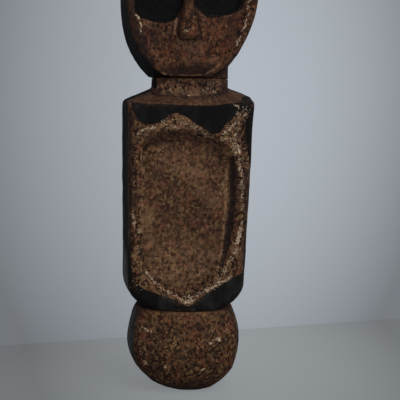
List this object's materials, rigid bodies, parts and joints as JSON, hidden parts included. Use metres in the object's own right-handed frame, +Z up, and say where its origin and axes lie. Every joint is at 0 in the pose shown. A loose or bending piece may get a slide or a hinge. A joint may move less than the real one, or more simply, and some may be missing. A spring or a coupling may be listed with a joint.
{
  "type": "carved ancestor figure",
  "caption": "Free-standing carved wooden ancestor figure: shield-shaped head, slab torso with a hollowed belly, rounded knob foot.",
  "frame": {"origin": "on the flat under the foot, straight below the torso's upright axis", "axes": "+Z up along the figure, the face and the belly look along -Y, +X is the side of the figure's left hand"},
  "size_m": [0.1498, 0.08, 0.5208],
  "materials": {
    "stained_wood": "matt, hand carved, stained dark brown and partly blackened, with caked pale pigment",
    "pale_wood": "matt, whittled, unfinished"
  },
  "bodies": {
    "root": {"head": "stained_wood", "torso": "stained_wood", "foot": "stained_wood", "head_dowel_left": "pale_wood", "head_dowel_right": "pale_wood", "foot_dowel_left": "pale_wood", "foot_dowel_right": "pale_wood"}
  },
  "joints": []
}
